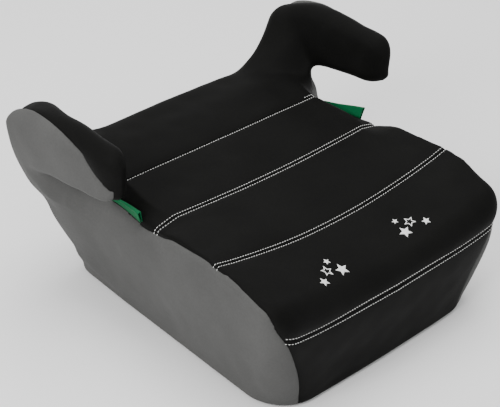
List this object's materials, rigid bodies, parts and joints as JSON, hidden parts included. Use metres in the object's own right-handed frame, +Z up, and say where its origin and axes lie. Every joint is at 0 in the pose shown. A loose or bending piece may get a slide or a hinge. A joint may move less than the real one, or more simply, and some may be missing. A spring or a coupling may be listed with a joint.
{
  "type": "booster seat",
  "caption": "Backless child booster seat: moulded shell with fixed armrests and belt slots, padded quilted cover with contrast side panels and fabric belt guides.",
  "frame": {"origin": "centre of the bounding box's bottom, on the surface that the seat stands on", "axes": "+Z up, -Y towards the front of the seat, X across the seat, which is symmetric about X = 0"},
  "size_m": [0.426, 0.3755, 0.231],
  "materials": {
    "black_fabric": "matt knitted polyester, foam backed",
    "grey_fabric": "matt knitted polyester, foam backed",
    "hem_tape": "woven binding",
    "green_webbing": "woven webbing",
    "white_thread": "twisted polyester thread",
    "star_print": "satin stitched",
    "elastic": "braided elastic",
    "foam": "open-cell foam",
    "shell_plastic": "fine moulded texture"
  },
  "bodies": {
    "root": {"armrest_foam_left": "foam", "armrest_foam_right": "foam", "belt_guide_left": "green_webbing", "belt_guide_right": "green_webbing", "cover_arm_left": "black_fabric", "cover_arm_right": "black_fabric", "cover_back": "black_fabric", "cover_back_lip": "black_fabric", "cover_front_apron": "black_fabric", "cover_hem": "hem_tape", "cover_seat_front": "black_fabric", "cover_seat_middle": "black_fabric", "cover_seat_rear": "black_fabric", "cover_side_left": "grey_fabric", "cover_side_right": "grey_fabric", "elastic_cord": "elastic", "seat_foam": "foam", "seat_shell": "shell_plastic", "shell_horn_left": "shell_plastic", "shell_horn_right": "shell_plastic", "shell_ribs_cross": "shell_plastic", "shell_ribs_long": "shell_plastic", "star_motif": "star_print", "topstitch_front": "white_thread", "topstitch_front_edge": "white_thread", "topstitch_middle": "white_thread", "topstitch_rear": "white_thread"}
  },
  "joints": []
}
